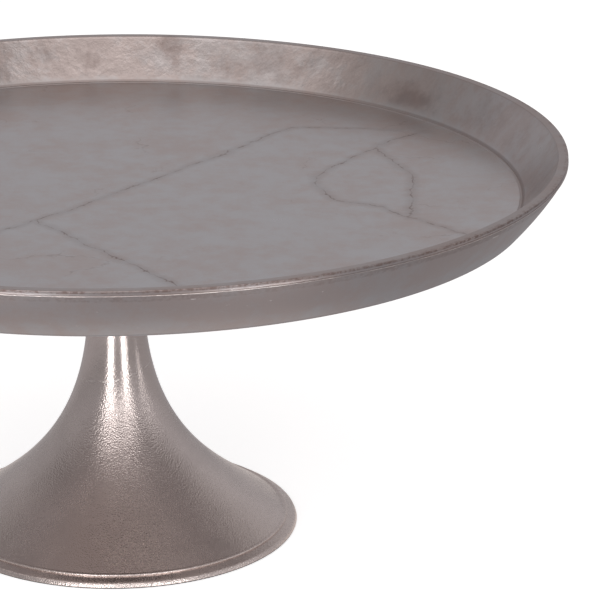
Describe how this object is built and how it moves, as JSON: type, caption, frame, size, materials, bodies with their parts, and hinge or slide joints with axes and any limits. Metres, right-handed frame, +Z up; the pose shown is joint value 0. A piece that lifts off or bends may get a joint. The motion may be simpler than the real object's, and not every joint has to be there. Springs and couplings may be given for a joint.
{
  "type": "tray table",
  "caption": "Low round tray table: a shallow flared tray with a raised lip on a trumpet-shaped pedestal, weighted foot and levelling glides.",
  "frame": {"origin": "centre of the foot, on the floor", "axes": "+Z up along the pedestal's axis; X and Y level, the table is round"},
  "size_m": [0.9, 0.9, 0.397],
  "materials": {
    "leafed_sheet": "silver-champagne metal leaf over brass sheet, satin lacquer",
    "leafed_casting": "silver-champagne metal leaf over cast brass, semi-gloss lacquer, fine cast grain",
    "plywood": "raw birch plywood and beech",
    "black_steel": "black powder coat",
    "zinc_steel": "zinc plated steel",
    "cast_iron": "raw cast iron",
    "rubber": "black rubber",
    "black_plastic": "black nylon"
  },
  "bodies": {
    "root": {"tray_pan": "leafed_sheet", "tray_apron": "leafed_sheet", "tray_underside": "leafed_sheet", "tray_core": "plywood", "rim_core": "plywood", "mounting_flange": "black_steel", "rod_boss": "zinc_steel", "center_column": "zinc_steel", "tie_rod": "zinc_steel", "tie_rod_washer": "zinc_steel", "tie_rod_nut": "zinc_steel", "flange_screw_1": "black_steel", "flange_screw_2": "black_steel", "flange_screw_3": "black_steel", "flange_screw_4": "black_steel", "flange_screw_5": "black_steel", "flange_screw_6": "black_steel", "pedestal_trumpet": "leafed_casting", "pedestal_capital": "leafed_casting", "neck_sleeve": "zinc_steel", "base_plate": "black_steel", "ballast_disc": "cast_iron", "foot_ring": "rubber", "ballast_screw_1": "zinc_steel", "ballast_screw_2": "zinc_steel", "ballast_screw_3": "zinc_steel", "glide_nut_1": "zinc_steel", "glide_nut_2": "zinc_steel", "glide_nut_3": "zinc_steel", "glide_nut_4": "zinc_steel"},
    "pad_1": {"glide_pad_1": "black_plastic"},
    "stud_1": {"glide_stud_1": "zinc_steel"},
    "pad_2": {"glide_pad_2": "black_plastic"},
    "stud_2": {"glide_stud_2": "zinc_steel"},
    "pad_3": {"glide_pad_3": "black_plastic"},
    "stud_3": {"glide_stud_3": "zinc_steel"},
    "pad_4": {"glide_pad_4": "black_plastic"},
    "stud_4": {"glide_stud_4": "zinc_steel"}
  },
  "joints": [
    {"name": "glide_lift_1", "type": "slide", "parent": "root", "child": "pad_1", "axis": [0, 0, 1], "range_m": [-0.01, 0]},
    {"name": "glide_turn_1", "type": "hinge", "parent": "pad_1", "child": "stud_1", "pos_m": [0.08627, 0.08627, 0.006], "axis": [0, 0, 1], "range_deg": [-2880, 0]},
    {"name": "glide_lift_2", "type": "slide", "parent": "root", "child": "pad_2", "axis": [0, 0, 1], "range_m": [-0.01, 0]},
    {"name": "glide_turn_2", "type": "hinge", "parent": "pad_2", "child": "stud_2", "pos_m": [-0.08627, 0.08627, 0.006], "axis": [0, 0, 1], "range_deg": [-2880, 0]},
    {"name": "glide_lift_3", "type": "slide", "parent": "root", "child": "pad_3", "axis": [0, 0, 1], "range_m": [-0.01, 0]},
    {"name": "glide_turn_3", "type": "hinge", "parent": "pad_3", "child": "stud_3", "pos_m": [-0.08627, -0.08627, 0.006], "axis": [0, 0, 1], "range_deg": [-2880, 0]},
    {"name": "glide_lift_4", "type": "slide", "parent": "root", "child": "pad_4", "axis": [0, 0, 1], "range_m": [-0.01, 0]},
    {"name": "glide_turn_4", "type": "hinge", "parent": "pad_4", "child": "stud_4", "pos_m": [0.08627, -0.08627, 0.006], "axis": [0, 0, 1], "range_deg": [-2880, 0]}
  ],
  "couplings": [
    {"joint": "glide_lift_1", "follows": "glide_turn_1", "m_per_rad": 0.00019894},
    {"joint": "glide_lift_2", "follows": "glide_turn_2", "m_per_rad": 0.00019894},
    {"joint": "glide_lift_3", "follows": "glide_turn_3", "m_per_rad": 0.00019894},
    {"joint": "glide_lift_4", "follows": "glide_turn_4", "m_per_rad": 0.00019894}
  ]
}
